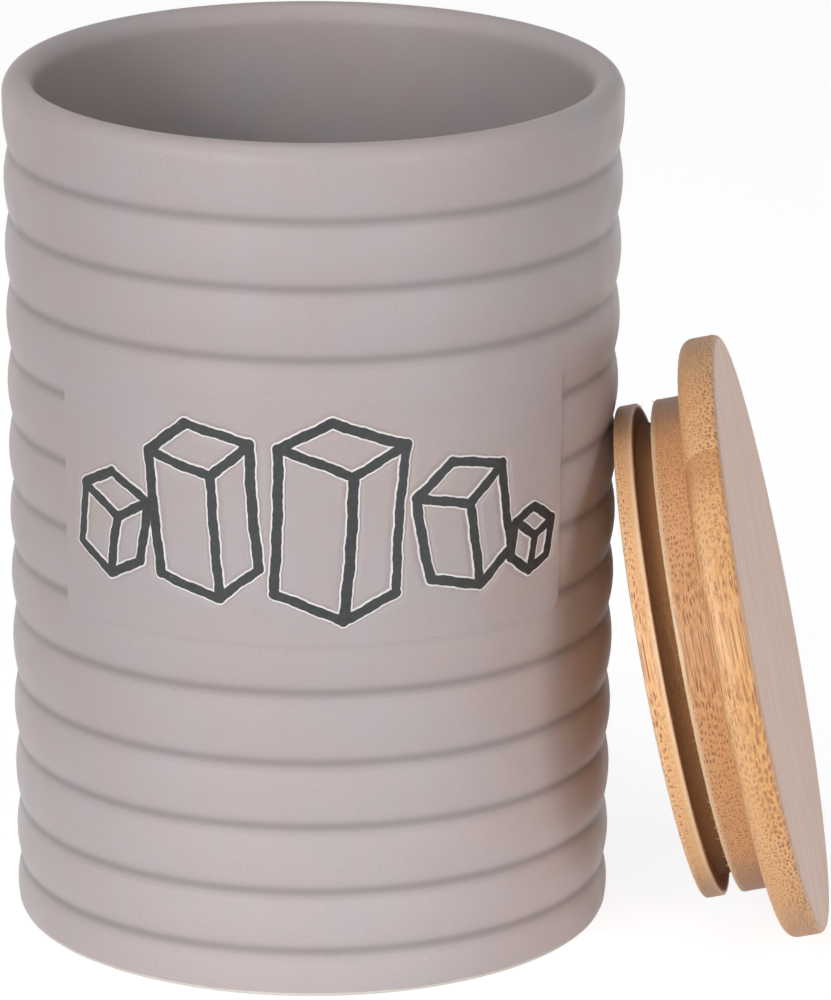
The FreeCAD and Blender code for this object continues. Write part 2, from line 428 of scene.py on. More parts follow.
def ink_material():
    """Black stain in the cut lines of the label, a little worn."""
    n = material_nodes("black_stain")
    wear = n.noise(n.place(), 900.0, 3.0, 0.6)
    colour = n.mix(n.step(wear, 0.35, 0.7), rgb(0.022, 0.024, 0.025), rgb(0.040, 0.042, 0.043))
    colour = n.mix(n.step(wear, 0.72, 0.78, 0.0, 0.6), colour, rgb(0.25, 0.24, 0.23))
    return n.surface({"Base Color": colour, "Roughness": n.step(wear, 0.3, 0.7, 0.42, 0.6), "IOR": 1.45})


def halo_material():
    """Pale body that shows where the glaze draws back from a cut line."""
    n = material_nodes("pale_cut_edge")
    wear = n.noise(n.place(), 700.0, 2.0, 0.6)
    colour = n.mix(n.step(wear, 0.3, 0.7), rgb(0.84, 0.81, 0.79), rgb(0.72, 0.68, 0.66))
    return n.surface({"Base Color": colour, "Roughness": n.step(wear, 0.3, 0.7, 0.4, 0.55)})


def lid_layout(n):
    """Where a point lies on the lid: its ply and strip, and how squarely the surface cuts the fibres."""
    at = SimpleNamespace()
    at.place = n.add("ShaderNodeAttribute", attribute_name="lid_place").outputs["Vector"]
    at.x, at.y, at.z = n.split(at.place)
    at.in_top = n.math("GREATER_THAN", at.z, -LID_THICKNESS - PLY_SLACK)
    at.in_flange = n.math("LESS_THAN", at.z, -NECK_END)
    at.in_neck = n.minus(1.0, n.plus(at.in_top, at.in_flange))
    bow = n.times(n.times_plus(at.z, -0.25, -0.575, clamp=True), n.times(at.in_top, JOINT_BOW))
    at.across = n.minus(at.y, bow)
    strip = n.math("FLOOR", n.times_plus(at.across, 1.0 / STRIP_WIDTH, n.times(at.in_neck, 0.5)))
    ply_key = n.times_plus(at.in_neck, 31.0, n.times(at.in_flange, 57.0))
    key = n.plus(n.times(strip, 1.37), ply_key)
    at.chance = n.add("ShaderNodeTexWhiteNoise", {"W": key}, noise_dimensions="1D").outputs["Value"]
    outermost = n.math("GREATER_THAN", n.math("ABSOLUTE", n.plus(strip, 0.5)), 2.0)
    at.outer_strip = n.times(at.in_top, outermost)
    at.large_bundles = n.times(at.outer_strip, n.step(at.z, *FACE_BAND))
    at.lower_half = n.step(at.x, HALF_FADE, -HALF_FADE)
    facing = n.add("ShaderNodeTexCoord").outputs["Normal"]
    at.end_grain = n.math("ABSOLUTE", n.measure("DOT_PRODUCT", facing, LID_PLACE.col[0].xyz))
    at.streak = n.drawn_out(at.place, (0.10, 6.5, 6.5), 3.0, 0.6)
    return at


def bamboo_bundles(n, at):
    """Fibre bundles that run along X: how strongly their dots, and the outer strips' rings, show."""
    slow = n.drawn_out(at.place, (0.035, 0.16, 0.16), 1.0, output="Color")
    wander = n.vector("MULTIPLY", n.vector("SUBTRACT", slow, (0.5, 0.5, 0.5)), (1.6, 1.6, 1.6))
    moved = n.split(n.vector("ADD", at.place, wander))
    own_y = n.times_plus(at.chance, 41.3, moved[1])
    own_z = n.times_plus(at.chance, 17.9, moved[2])
    plane = n.combine(own_y, own_z, 0.0)
    small = n.cells(plane, n.times_plus(at.in_top, -0.25, 1.95), 0.68)
    large = n.cells(plane, 1.1, 0.6)
    toward_face = n.times(at.in_top, n.step(at.z, -LID_THICKNESS + FACE_MARGIN, -FACE_MARGIN))
    size = n.split(small["Color"])[0]
    reach = n.times_plus(size, 0.09, n.times_plus(toward_face, 0.07, 0.18))
    dot = n.step(n.minus(small["Distance"], reach), 0.11, -0.07)
    ring = n.step(n.math("ABSOLUTE", n.minus(large["Distance"], 0.20)), 0.14, 0.02)
    core = n.step(large["Distance"], 0.15, 0.05)
    top_show = n.times(at.in_top, n.times_plus(toward_face, 0.5, 0.5))
    flange_show = n.times(at.in_flange, n.step(at.z, *FLANGE_FADE, 0.25, 1.0))
    ply_show = n.plus(top_show, n.times_plus(at.in_neck, 0.85, flange_show))
    beside_large = n.times_plus(at.large_bundles, -0.45, n.times_plus(at.outer_strip, -0.05, 1.0))
    show = n.times(ply_show, beside_large)
    return SimpleNamespace(
        dots=n.times(dot, n.times(show, n.step(size, 0.0, 1.0, 0.55, 0.95))),
        pits=n.times(dot, n.times(show, 0.8)),
        rings=n.times(ring, n.times(at.large_bundles, 0.62)),
        cores=n.times(core, n.times(at.large_bundles, 0.6)),
    )


def bamboo_grain(n, at):
    """Colour of the fibres between the bundles, with each ply and strip toned by itself."""
    line = n.drawn_out(at.place, (0.06, 3.4, 3.4), 2.0, 0.7)
    band = n.drawn_out(at.place, (0.02, 0.55, 0.55))
    grain = n.drawn_out(at.place, (0.8, 9.0, 9.0), 2.0, 0.7)
    colour = n.mix(n.step(at.streak, 0.3, 0.7), rgb(0.71, 0.35, 0.147), rgb(0.89, 0.50, 0.235))
    colour = n.mix(n.step(band, 0.35, 0.7, 0.0, 0.5), colour, rgb(0.72, 0.36, 0.14))
    colour = n.mix(n.step(at.chance, 0.0, 1.0, 0.0, 0.3), colour, rgb(0.82, 0.50, 0.25))
    colour = n.tint(colour, rgb(0.62, 0.29, 0.12), at.in_neck, 0.25)
    colour = n.tint(colour, rgb(0.88, 0.53, 0.26), at.in_flange, 0.45)
    # Long streaks where the rim runs along the fibres
    on_rim = n.times(n.step(at.end_grain, 0.42, 0.12), n.step(at.z, *RIM_FADE))
    colour = n.tint(colour, rgb(0.44, 0.17, 0.055), on_rim, n.step(line, 0.50, 0.36, 0.0, 0.75))
    colour = n.tint(colour, rgb(0.92, 0.60, 0.32), on_rim, n.step(line, 0.54, 0.68, 0.0, 0.6))
    colour = n.mix(n.step(grain, 0.50, 0.34, 0.0, 0.42), colour, rgb(0.46, 0.20, 0.075))
    colour = n.mix(n.step(grain, 0.54, 0.70, 0.0, 0.36), colour, rgb(0.95, 0.66, 0.37))
    near_joint = n.times(at.outer_strip, n.step(n.math("ABSOLUTE", at.across), *JOINT_FADE))
    reddish = n.times(near_joint, n.minus(1.0, at.lower_half))
    colour = n.tint(colour, rgb(0.45, 0.185, 0.07), reddish, 0.6)
    return n.tint(colour, rgb(0.74, 0.36, 0.10), at.large_bundles, 0.35)


def ring_groove_shade(n, at):
    from_axis = n.measure("LENGTH", n.combine(at.x, at.y, 0.0))
    sunk = n.step(from_axis, PLUG_RADIUS - GROOVE_FADE[0], PLUG_RADIUS - GROOVE_FADE[1])
    below_neck = n.times(sunk, n.math("LESS_THAN", at.z, -NECK_END + PLY_SLACK))
    return n.times(below_neck, n.math("GREATER_THAN", at.z, -GROOVE_END - PLY_SLACK))


def bamboo_material():
    """Caramelised bamboo in the lid's own frame: bundles show as dots on end grain, as streaks along it."""
    n = material_nodes("sanded_bamboo")
    at = lid_layout(n)
    bundles = bamboo_bundles(n, at)
    colour = bamboo_grain(n, at)
    dot_colour = n.mix(at.in_flange, rgb(0.27, 0.095, 0.032), rgb(0.34, 0.09, 0.03))
    colour = n.mix(bundles.dots, colour, dot_colour)
    colour = n.mix(bundles.rings, colour, rgb(0.26, 0.075, 0.022))
    core_colour = n.mix(at.lower_half, rgb(0.86, 0.57, 0.28), rgb(0.36, 0.11, 0.045))
    colour = n.mix(bundles.cores, colour, core_colour)
    # Sanded top face, with a painted sheen that makes it pale and slightly pink, and painted shade in the
    # ring groove
    face_with_painted_sheen = n.step(at.z, *FACE_FADE)
    # Painted sheen: a pale pink tint stands in for the white surroundings mirrored on the face at a grazing
    # angle
    colour = n.tint(colour, rgb(0.64, 0.46, 0.41), face_with_painted_sheen, 0.6)
    # Painted shade: the ring groove's walls are darkened, and reflect less, where the neck and flange shade
    # them
    painted_groove_shade = ring_groove_shade(n, at)
    colour = n.tint(colour, rgb(0.19, 0.062, 0.02), painted_groove_shade, 0.72)
    # Pale turned edges with a painted highlight along them, end grain a little darker, and painted shade on
    # the end faces of the plies
    # Partly painted highlight: the turned edges are lightened both as pale torn fibres and as the light their
    # rounds catch
    colour = n.tint(colour, rgb(0.90, 0.70, 0.48), n.attribute("edge"), 0.65)
    colour = n.tint(colour, rgb(0.40, 0.19, 0.08), at.end_grain, 0.16)
    # Painted shade: the end faces of the plies, most on the neck and flange, are darkened where little light
    # reaches them
    painted_end_shade = n.times(n.step(at.end_grain, 0.80, 0.98), n.minus(1.0, n.times(at.in_top, 0.6)))
    colour = n.tint(colour, rgb(0.20, 0.125, 0.095), painted_end_shade, 0.55)
    roughness = n.times_plus(at.end_grain, 0.2, n.step(at.streak, 0.2, 0.8, 0.29, 0.40))
    dull = n.times_plus(face_with_painted_sheen, 0.3, painted_groove_shade)
    return n.surface(
        {
            "Base Color": colour,
            "Roughness": n.times_plus(dull, 0.4, roughness),
            "Normal": n.bump(n.minus(at.streak, bundles.pits), 0.16, 0.0002),
            "IOR": 1.46,
            "Specular IOR Level": n.times_plus(painted_groove_shade, -0.42, 0.5),
        }
    )


GLAZE = glaze_material()
INK = ink_material()
HALO = halo_material()
BAMBOO = bamboo_material()


# Label motif


def crystal_lines(middle, height, width, tall, slant, top_share, turn):
    """The nine lines of a block: six around the outside and three that meet at its near corner."""
    half = width / 2
    drop = tall * top_share
    corners = {
        "back": (width * (slant - 0.5) * 0.4, tall / 2),
        "left_top": (-half, tall / 2 - drop * 0.55),
        "right_top": (half, tall / 2 - drop * 0.40),
        "near": (-width * (slant - 0.5) * 0.4, tall / 2 - drop),
        "left_foot": (-half * 0.95, -tall / 2 + drop * 0.45),
        "right_foot": (half * 0.97, -tall / 2 + drop * 0.55),
        "foot": (-width * (slant - 0.5) * 0.35, -tall / 2),
    }
    cos, sin = math.cos(math.radians(turn)), math.sin(math.radians(turn))
    spun = {}
    for key, (u, v) in corners.items():
        spun[key] = np.array((middle + u * cos - v * sin, height + u * sin + v * cos))
    around = ("left_foot", "left_top", "back", "right_top", "right_foot", "foot", "left_foot")
    pairs = list(zip(around, around[1:]))
    pairs += [("near", "left_top"), ("near", "right_top"), ("near", "foot")]
    return [(spun[a], spun[b]) for a, b in pairs]


def drawn(start, end):
    """Points along a hand-drawn line, with a half width at each."""
    length = float(np.linalg.norm(end - start))
    count = max(4, int(length / LINE_STEP))
    share = np.linspace(0.0, 1.0, count + 1)
    along = (end - start) / length
    side = np.array((-along[1], along[0]))
    bend = RANDOM.uniform(-LINE_BEND_SHARE, LINE_BEND_SHARE) * length
    phase = RANDOM.uniform(0.0, 6.28, 3)
    sway = bend * np.sin(math.pi * share) + LINE_SWAY * np.sin(share * length * 0.9 + phase[0])
    points = start + share[:, None] * (end - start) + sway[:, None] * side
    width = LINE_WIDTH * RANDOM.uniform(*LINE_WIDTH_SHARES)
    wobble = LINE_WOBBLES[0] * np.sin(share * length * 1.7 + phase[1])
    wobble += LINE_WOBBLES[1] * np.sin(share * length * 4.1 + phase[2])
    return points, width / 2 + wobble


MOTIF = [drawn(a, b) for crystal in CRYSTALS for a, b in crystal_lines(*crystal)]


def motif_distance(along, height):
    """Distance from each point of the panel to the nearest line's edge."""
    best = np.full(along.shape, FAR)
    for points, halves in MOTIF:
        low = points.min(0) - NEAR_MARGIN
        high = points.max(0) + NEAR_MARGIN
        near = (along > low[0]) & (along < high[0]) & (height > low[1]) & (height < high[1])
        if not near.any():
            continue
        p = np.stack((along[near], height[near]), -1)
        d = np.full(len(p), FAR)
        for a, b, half in zip(points, points[1:], halves):
            run = b - a
            t = np.clip(((p - a) @ run) / (run @ run), 0.0, 1.0)
            d = np.minimum(d, np.linalg.norm(p - a - t[:, None] * run, axis=1) - half)
        best[near] = np.minimum(best[near], d)
    return best


# Jar


def crest_radius(height):
    """Radius of the cone through the rib crests."""
    return FOOT_RADIUS + (LIP_RADIUS - FOOT_RADIUS) * height / JAR_HEIGHT


def groove_distance(height):
    return np.min(np.abs(np.asarray(height)[..., None] - np.array(GROOVES)), axis=-1)


def rib_drop(height):
    """How far the ribbed wall lies inside the cone through its crests."""
    height = np.asarray(height, float)
    drop = np.zeros_like(height)
    for high, low in zip(GROOVES, GROOVES[1:]):
        inside = (height <= high) & (height > low)
        off = np.minimum(height - low, high - height)
        soft = np.sqrt(off ** 2 + GROOVE_SOFTNESS ** 2)
        rise = np.clip(2.0 * soft / (high - low), 0.0, 1.0)
        drop = np.where(inside, GROOVE_DEPTH * (1.0 - rise) ** 2, drop)
    off = np.sqrt((height - GROOVES[0]) ** 2 + GROOVE_SOFTNESS ** 2)
    above = GROOVE_DEPTH * np.clip(1.0 - off / RIM_SHOULDER, 0.0, 1.0) ** 2
    drop = np.where(height > GROOVES[0], above, drop)
    base = GROOVES[-1]
    off = np.sqrt((height - base) ** 2 + GROOVE_SOFTNESS ** 2)
    below = GROOVE_DEPTH * np.clip(1.0 - off / (base - BASE_CREST), 0.0, 1.0) ** 2
    foot = FOOT_SETBACK * np.clip((BASE_CREST - height) / BASE_CREST, 0.0, 1.0) ** 2
    return np.where(height <= base, below + foot, drop)


def outside_heights():
    """Heights of the rows up the outside: close in the grooves and on the panel."""
    heights = [ROW_START]
    below, above = PANEL_ROW_MARGINS
    while heights[-1] < LIP_SIDE - ROW_END_GAP:
        z = heights[-1]
        step = float(np.clip(ROW_STEP_IN_GROOVE + ROW_GROWTH_SHARE * groove_distance(z), *ROW_STEPS))
        if PANEL_BOTTOM - below < z < PANEL_TOP + above:
            step = min(step, PANEL_ROW_STEP)
        heights.append(min(z + step, LIP_SIDE))
    return np.array(heights)


def column_angles():
    """Angles from -Y towards +X: close across the panel, wider behind."""
    front = np.linspace(-PANEL_REACH, PANEL_REACH, FRONT_COLUMNS)
    back = np.linspace(PANEL_REACH, 2 * math.pi - PANEL_REACH, BACK_COLUMNS)[1:-1]
    return np.concatenate((front, back))


def arc_rows(centre_r, centre_z, radius, start, end, count, rise=None):
    """Points of a round, or of an oval where a rise other than the radius is given."""
    angles = np.radians(np.linspace(start, end, count))
    rise = radius if rise is None else rise
    return [(centre_r + radius * math.cos(a), centre_z + rise * math.sin(a)) for a in angles]


def foot_profile():
    """The recess under the foot, and the foot ring with its rounded edges."""
    foot = FOOT_RADIUS - FOOT_SETBACK
    ring = foot - FOOT_RING_WIDTH
    soft = FOOT_ROUND
    return [
        (ring * 0.5, FOOT_RECESS),
        (ring - soft * 1.2, FOOT_RECESS),
        (ring - soft * 0.2, FOOT_RECESS - soft * 0.24),
        (ring, FOOT_RECESS - soft),
        (ring + soft * 0.3, soft * 0.24),
        (ring + soft, 0.0),
        (foot - soft, 0.0),
        (foot - soft * 0.32, soft * 0.2),
        (foot - soft * 0.04, soft * 0.76),
    ]


def lip_profile():
    outer = LIP_RADIUS - LIP_CREST_RADIUS
    inner = LIP_CREST_RADIUS - MOUTH_RADIUS
    rows = arc_rows(LIP_CREST_RADIUS, LIP_SIDE, outer, 8, 88, LIP_ROWS, LIP_DEPTH)
    return rows + arc_rows(LIP_CREST_RADIUS, LIP_SIDE, inner, 92, 180, LIP_ROWS, LIP_DEPTH)


def inside_profile():
    """The straight mouth, the wall that follows the jar's cone, and the floor with its round corner."""
    foot = FLOOR_HEIGHT + INNER_CORNER
    widening = (MOUTH_RADIUS - INNER_FOOT_RADIUS) / (MOUTH_END - foot)
    rows = [(MOUTH_RADIUS, z) for z in MOUTH_LEVELS]
    rows += [(INNER_FOOT_RADIUS + widening * (z - foot), z) for z in INNER_LEVELS]
    rows += arc_rows(INNER_FOOT_RADIUS - INNER_CORNER, foot, INNER_CORNER, 0, -90, INNER_CORNER_ROWS)
    return rows + [(INNER_FOOT_RADIUS * 0.45, FLOOR_HEIGHT)]


def panel_mask(along, height):
    """1 on the panel, 0 off it, with soft edges and round corners."""
    half = (PANEL_TOP - PANEL_BOTTOM) / 2
    u = np.abs(along) - (PANEL_HALF_WIDTH - PANEL_CORNER)
    v = np.abs(height - PANEL_MIDDLE) - (half - PANEL_CORNER)
    outside = np.sqrt(np.maximum(u, 0.0) ** 2 + np.maximum(v, 0.0) ** 2)
    distance = outside + np.minimum(np.maximum(u, v), 0.0) - PANEL_CORNER
    return smoothstep(PANEL_EDGE, -PANEL_EDGE, distance)


def cast_wave(angle, z):
    """Slight unevenness of a cast wall: always inwards, and none at the foot and the lip."""
    wave = np.sin(2 * angle + 0.05 * z + 0.4)
    wave = wave + 0.7 * np.sin(3 * angle - 0.031 * z + 2.0)
    wave = wave + 0.5 * np.sin(0.045 * z + angle + 1.1)
    inward = CAST_WAVE * (wave / 2.2 - 1.0) * 0.5
    return inward * smoothstep(0.0, WAVE_FOOT_FADE, z) * smoothstep(LIP_SIDE, LIP_SIDE - WAVE_LIP_FADE, z)


def build_jar():
    angles = column_angles()
    columns = len(angles)
    below = foot_profile()
    outside = outside_heights()
    profile = below + [(0.0, z) for z in outside] + lip_profile() + inside_profile()
    first = len(below)
    last = first + len(outside)
    rows = len(profile)
    radius, height = (np.repeat(np.array(column)[:, None], columns, 1) for column in zip(*profile))
    # The outside: ribs, panel, cut lines and the unevenness of the wall
    z = height[first:last]
    angle = np.where(angles > math.pi, angles - 2 * math.pi, angles)[None, :].repeat(last - first, 0)
    along = (angle - PANEL_TURN) * crest_radius(PANEL_MIDDLE)
    mask = panel_mask(along, z)
    recess = CUT_DEPTH * smoothstep(*CUT_SLOPE, motif_distance(along, z - PANEL_MIDDLE))
    smooth = crest_radius(z) - rib_drop(z) * (1.0 - mask) + PANEL_PROUD * mask
    radius[first:last] = smooth + cast_wave(angle, z) - recess
    points = np.stack((radius * np.sin(angles), -radius * np.cos(angles), height), -1).reshape(-1, 3)
    # Painted shade along the grooves, left off the panel
    glaze_groove_shade = np.zeros((rows, columns))
    glaze_groove_shade[first:last] = np.exp(-(groove_distance(z) / GROOVE_SHADE_REACH) ** 2) * (1.0 - mask)
    bare = np.zeros((rows, columns))
    bare[:first] = 1.0
    bare[first:last] = smoothstep(2.0 * BARE_HEIGHT, 0.0, z)
    # The middles of the recess and of the floor close the mesh
    faces = tube_faces(rows, columns)
    under = len(points)
    points = np.vstack((points, (0.0, 0.0, FOOT_RECESS), (0.0, 0.0, FLOOR_HEIGHT)))
    end = (rows - 1) * columns
    for j in range(columns):
        k = (j + 1) % columns
        faces.append((under, k, j))
        faces.append((under + 1, end + j, end + k))
    attributes = {
        "glaze_groove_shade": np.append(glaze_groove_shade.ravel(), (0.0, 0.0)),
        "bare": np.append(bare.ravel(), (1.0, 0.0)),
    }
    jar = make_object("canister_jar", points, faces, attributes)
    shade(jar, SOFT_DEGREES)
    jar.data.materials.append(GLAZE)
    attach(jar, "jar")
    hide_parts("jar_body")


def nearest(loop, points):
    gaps = np.linalg.norm(loop[:, None] - points[None], axis=2)
    return points[gaps.argmin(1)]


def ribbon_loop(points, halves, turns):
    """The outline of one line: up its right side, around the end, down its left side, around the start."""
    run = np.gradient(points, axis=0)
    run /= np.linalg.norm(run, axis=1)[:, None]
    side = np.stack((-run[:, 1], run[:, 0]), -1)
    half = halves[:, None]
    left = points + side * half
    right = points - side * half
    cap_end = [points[-1] + half[-1] * (math.cos(a) * run[-1] + math.sin(a) * side[-1]) for a in turns]
    cap_start = [points[0] + half[0] * (-math.cos(a) * run[0] - math.sin(a) * side[0]) for a in turns]
    return np.vstack((right, cap_end, left[::-1], cap_start))


def ribbon(points, halves, level):
    """The closed solid of one line: rounded ends, flat face at a level, bed inside the wall."""
    turns = np.radians(np.linspace(-90, 90, LINE_END_ROWS))[1:-1]
    loop = ribbon_loop(points, halves, turns)
    face_radius = crest_radius(loop[:, 1] + PANEL_MIDDLE) + PANEL_PROUD
    middle = nearest(loop, points)
    solid = []
    for depth, shrink in ((LINE_BED, 0.0), (level - LINE_ROUND, 0.0), (level, LINE_ROUND)):
        inward = loop - (loop - middle) * shrink
        r = face_radius + depth
        a = inward[:, 0] / crest_radius(PANEL_MIDDLE) + PANEL_TURN
        solid.append(np.stack((r * np.sin(a), -r * np.cos(a), inward[:, 1] + PANEL_MIDDLE), -1))
    count = len(loop)
    faces = tube_faces(len(solid), count)
    # Faces across the line between its two sides, then the two round ends
    n = len(points)
    e = len(turns)
    top = 2 * count
    for i in range(n - 1):
        a, b = i, i + 1
        c, d = n + e + (n - 1 - b), n + e + (n - 1 - a)
        faces.append((top + a, top + b, top + c, top + d))
        faces.append((d, c, b, a))
    end = [n - 1] + list(range(n, n + e)) + [n + e]
    start = [n + e + n - 1] + list(range(2 * n + e, count)) + [0]
    for cap in (end, start):
        faces.append(tuple(top + i for i in cap))
        faces.append(tuple(reversed(cap)))
    return np.vstack(solid), faces


def build_lines(name, level, grow, material):
    points, faces, count = [], [], 0
    for number, (line, halves) in enumerate(MOTIF):
        solid, sides = ribbon(line, halves + grow, level - LEVEL_SHIFT * (number % LEVEL_COUNT))
        faces += [tuple(i + count for i in face) for face in sides]
        points.append(solid)
        count += len(solid)
    item = make_object(name, np.vstack(points), faces)
    shade(item, CRISP_DEGREES)
    item.data.materials.append(material)
    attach(item, "jar")


# Lid: each row of a ply has a radius, a height and how pale and rough its edge is; the paleness is partly
# loose fibres, partly a painted highlight


def flat_rows(radii, z, edge=0.0):
    return [(r, z, edge) for r in radii]


def upright_rows(radius, levels):
    return [(radius, z, 0.0) for z in levels]


def round_rows(radius, z, size, start, end, count, edge=0.0):
    """Rows of a round of a size, whose centre is at a radius and a height."""
    return [(r, h, edge) for r, h in arc_rows(radius, z, size, start, end, count)]


def top_profile():
    under = -LID_THICKNESS
    upper_centre = LID_RADIUS - LID_TOP_ROUND
    lower_centre = LID_RADIUS - LID_UNDER_ROUND
    rows = flat_rows(FACE_RINGS, 0.0)
    rows += round_rows(upper_centre, -LID_TOP_ROUND, LID_TOP_ROUND, 90, 0, LID_ROUND_ROWS)
    rows += upright_rows(LID_RADIUS, RIM_LEVELS)
    rows += round_rows(lower_centre, under + LID_UNDER_ROUND, LID_UNDER_ROUND, 0, -90, LID_ROUND_ROWS)
    return rows + flat_rows(UNDER_RINGS, under)


def neck_profile():
    centre = PLUG_RADIUS - EDGE_ROUND
    rows = flat_rows(NECK_TOP_RINGS, -LID_THICKNESS)
    rows += upright_rows(PLUG_RADIUS, NECK_LEVELS)
    rows += round_rows(centre, -NECK_END + EDGE_ROUND, EDGE_ROUND, 0, -90, EDGE_ROWS, 1.0)
    rows += flat_rows((PLUG_RADIUS - EDGE_FADE,), -NECK_END, 0.2)
    return rows + flat_rows(NECK_END_RINGS, -NECK_END)


def flange_profile():
    centre = PLUG_RADIUS - EDGE_ROUND
    end_centre = PLUG_RADIUS - FLANGE_ROUND
    rows = flat_rows(FLANGE_TOP_RINGS, -NECK_END)
    rows += upright_rows(CORE_RADIUS, CORE_LEVELS)
    rows += flat_rows(LEDGE_RINGS, -GROOVE_END)
    rows += flat_rows((PLUG_RADIUS - EDGE_FADE,), -GROOVE_END, 0.2)
    rows += round_rows(centre, -GROOVE_END - EDGE_ROUND, EDGE_ROUND, 90, 0, EDGE_ROWS, 1.0)
    rows += upright_rows(PLUG_RADIUS, FLANGE_LEVELS)
    rows += round_rows(end_centre, -LID_DEPTH + FLANGE_ROUND, FLANGE_ROUND, 0, -90, EDGE_ROWS, 0.3)
    return rows + flat_rows(PLUG_END_RINGS, -LID_DEPTH)


def lathe(profile):
    """A turned ply as a bmesh, closed at both ends on the axis, with the edge value of each row."""
    bm = bmesh.new()
    layer = bm.verts.layers.float.new("edge")
    rings = []
    for r, z, edge in profile:
        ring = []
        for j in range(LID_SEGMENTS):
            a = 2 * math.pi * (j + 0.5) / LID_SEGMENTS
            nick = math.sin(61 * a) * math.sin(23 * a + 1.0) + math.sin(149 * a + z)
            reach = r + EDGE_NICK * edge * nick
            vert = bm.verts.new((reach * math.cos(a) * MM, reach * math.sin(a) * MM, z * MM))
            vert[layer] = edge
            ring.append(vert)
        rings.append(ring)
    first = bm.verts.new((0.0, 0.0, profile[0][1] * MM))
    last = bm.verts.new((0.0, 0.0, profile[-1][1] * MM))
    for j in range(LID_SEGMENTS):
        k = (j + 1) % LID_SEGMENTS
        for upper, lower in zip(rings, rings[1:]):
            bm.faces.new((upper[j], lower[j], lower[k], upper[k]))
        bm.faces.new((first, rings[0][j], rings[0][k]))
        bm.faces.new((last, rings[-1][k], rings[-1][j]))
    bm.normal_update()
    return bm


def cut_strip(source, low, high):
    """The part of a ply between two glue joints, closed along the joints."""
    bm = source.copy()
    for level, keep in ((low, 1.0), (high, -1.0)):
        if level is None:
            continue
        geometry = bm.verts[:] + bm.edges[:] + bm.faces[:]
        joint = (0.0, (level + keep * STRIP_GAP) * MM, 0.0)
        away = (0.0, -keep, 0.0)
        bmesh.ops.bisect_plane(
            bm, geom=geometry, plane_co=joint, plane_no=away, clear_outer=True, dist=CUT_TOLERANCE
        )
        open_edges = [e for e in bm.edges if e.is_boundary]
        bmesh.ops.holes_fill(bm, edges=open_edges, sides=0)
    bmesh.ops.recalc_face_normals(bm, faces=bm.faces)
    return bm


def build_ply(label, node, profile, count):
    middle = (count - 2) / 2
    joints = [(i - middle) * STRIP_WIDTH for i in range(count - 1)]
    source = lathe(profile)
    for number, (low, high) in enumerate(zip([None] + joints, joints + [None]), start=1):
        bm = cut_strip(source, low, high)
        mesh = bpy.data.meshes.new(f"{label}_{number}")
        bm.to_mesh(mesh)
        bm.free()
        item = link(f"{label}_{number}", mesh)
        set_on_lid(item)
        shade(item, CRISP_DEGREES)
        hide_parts(f"{node}_{number}")
    source.free()


def build_hairs():
    """Loose fibres left along the turned edges beside the ring groove."""
    points, faces = [], []
    edges = ((-NECK_END, -1.0), (-GROOVE_END, 1.0))
    turns = [2 * math.pi * i / HAIR_SIDES for i in range(HAIR_SIDES)]
    for _ in range(HAIR_COUNT):
        z, toward = edges[int(RANDOM.uniform() < HAIR_LOWER_SHARE)]
        a = RANDOM.uniform(0.0, 2 * math.pi)
        length = HAIR_SHORTEST + HAIR_GROWTH * RANDOM.uniform() ** 4
        thick = RANDOM.uniform(*HAIR_THICKNESS)
        out = np.array((math.cos(a), math.sin(a), 0.0))
        root = (PLUG_RADIUS - HAIR_SINK) * out + np.array((0.0, 0.0, z - HAIR_ROOT * toward))
        aim = toward * np.array((0.0, 0.0, 1.0)) + out * RANDOM.uniform(-0.2, 0.4)
        aim += np.array((RANDOM.uniform(-0.9, 0.9), RANDOM.uniform(-0.25, 0.25), 0.0))
        aim /= np.linalg.norm(aim)
        side = np.cross(aim, out)
        side /= np.linalg.norm(side)
        up = np.cross(side, aim)
        middle = root + aim * length * 0.55 + up * length * 0.08
        tip = root + aim * length + up * length * RANDOM.uniform(-0.2, 0.3)
        base = len(points)
        for centre, width in ((root, thick), (middle, thick * 0.7)):
            points += [centre + width * (math.cos(turn) * side + math.sin(turn) * up) for turn in turns]
        points.append(tip)
        faces.append((base + 2, base + 1, base))
        for i in range(HAIR_SIDES):
            j = (i + 1) % HAIR_SIDES
            upper_i, upper_j = base + HAIR_SIDES + i, base + HAIR_SIDES + j
            faces.append((base + i, base + j, upper_j, upper_i))
            faces.append((upper_i, upper_j, base + 2 * HAIR_SIDES))
    item = make_object("loose_fibres", points, faces, {"edge": [1.0] * len(points)})
    set_on_lid(item)
    shade(item, SOFT_DEGREES)


build_jar()
build_lines("label_cut_edges", HALO_LEVEL, HALO_WIDTH, HALO)
build_lines("label_cut_lines", LINE_LEVEL, 0.0, INK)
build_ply("bamboo_top", "lid_top_strip", top_profile(), TOP_STRIPS)
build_ply("bamboo_neck", "lid_neck_strip", neck_profile(), NECK_STRIPS)
build_ply("bamboo_flange", "lid_flange_strip", flange_profile(), FLANGE_STRIPS)
build_hairs()


# Stage


def background_rays(n):
    """Camera rays, and these with the rays that a surface mirrors or lets through."""
    path = n.add("ShaderNodeLightPath").outputs
    mirrored = n.math("MAXIMUM", path["Is Glossy Ray"], path["Is Transmission Ray"])
    return path["Is Camera Ray"], n.math("MAXIMUM", path["Is Camera Ray"], mirrored)


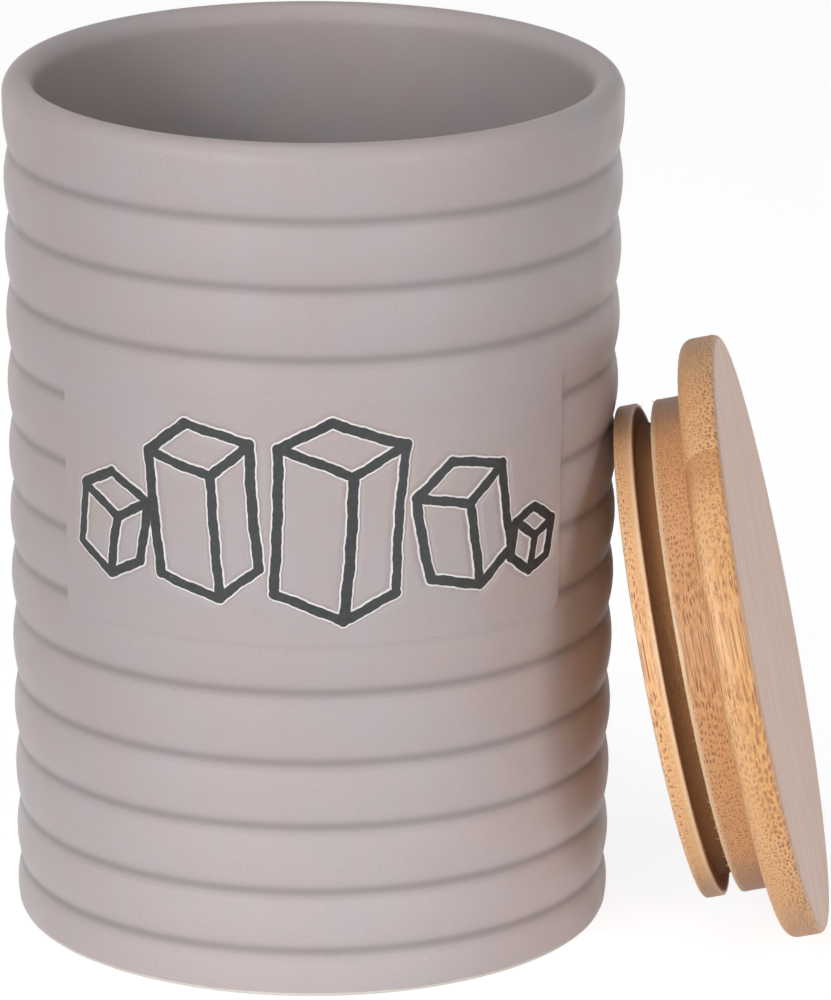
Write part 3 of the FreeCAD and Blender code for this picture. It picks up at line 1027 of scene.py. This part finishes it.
def build_floor():
    """A glossy white table that keeps the object's shadow. It bounces less light from further off."""
    size = FLOOR_HALF
    corners = [(-size, -size, 0), (size, -size, 0), (size, size, 0), (-size, size, 0)]
    mesh = bpy.data.meshes.new("studio_floor")
    mesh.from_pydata(corners, [], [(0, 1, 2, 3)])
    floor = link("studio_floor", mesh)
    floor.location.z = -FLOOR_DROP
    n = material_nodes("studio_floor")
    camera_ray, seen = background_rays(n)
    away = n.measure("LENGTH", n.place())
    sheet = n.mix(n.step(away, *SHEET_EDGE), rgb(0.92, 0.92, 0.92), rgb(0.40, 0.40, 0.40))
    table = n.surface(
        {
            "Base Color": n.mix(seen, sheet, rgb(0.30, 0.30, 0.30)),
            "Roughness": 0.12,
            "IOR": 2.6,
            "Specular IOR Level": n.times_plus(camera_ray, -0.5, 0.5),
            "Emission Color": rgb(*WHITE),
            "Emission Strength": n.times(seen, BACKGROUND_WHITE),
        }
    )
    mesh.materials.append(table)


def build_world():
    """White where it is seen, and a faint light from above."""
    world = bpy.data.worlds.new("studio")
    bpy.context.scene.world = world
    n = Nodes(world)
    up = n.split(n.add("ShaderNodeTexCoord").outputs["Generated"])[2]
    low, high = HORIZON_FADE
    inputs = {"Value": up, "From Min": low, "From Max": high, "To Min": AMBIENT, "To Max": ZENITH}
    strength = n.add("ShaderNodeMapRange", inputs).outputs[0]
    ambient = n.add("ShaderNodeBackground", {"Color": rgb(*WHITE), "Strength": strength}).outputs[0]
    white = n.add("ShaderNodeBackground", {"Color": rgb(*WHITE), "Strength": 1.0}).outputs[0]
    seen = background_rays(n)[1]
    mix = n.add("ShaderNodeMixShader", {0: seen, 1: ambient, 2: white}).outputs[0]
    n.add("ShaderNodeOutputWorld", {"Surface": mix})


def softbox(name, azimuth, elevation, width, height, power, colour):
    """An area lamp aimed at the object."""
    a, e = math.radians(azimuth), math.radians(elevation)
    direction = Vector((math.sin(a) * math.cos(e), -math.cos(a) * math.cos(e), math.sin(e)))
    data = bpy.data.lights.new(name, "AREA")
    data.shape = "RECTANGLE"
    data.size = width
    data.size_y = height
    data.energy = power
    data.color = colour
    lamp = link(name, data)
    lamp.location = Vector(LAMP_AIM) + direction * LAMP_DISTANCE
    lamp.rotation_euler = (-direction).to_track_quat("-Z", "Y").to_euler()


def build_camera():
    data = bpy.data.cameras.new("photo_camera")
    data.sensor_width = CAMERA_SENSOR
    data.lens = CAMERA_LENS
    data.shift_x, data.shift_y = CAMERA_SHIFT
    data.clip_start, data.clip_end = CAMERA_CLIP
    camera = link("photo_camera", data)
    turned = Matrix.Rotation(CAMERA_PITCH, 4, "X") @ Matrix.Rotation(CAMERA_ROLL, 4, "Z")
    camera.matrix_world = Matrix.Translation(CAMERA_PLACE) @ turned
    bpy.context.scene.camera = camera


build_floor()
build_world()
for lamp_name, lamp_values in LAMPS.items():
    softbox(lamp_name, *lamp_values)
build_camera()
bpy.context.scene.view_settings.view_transform = "Standard"
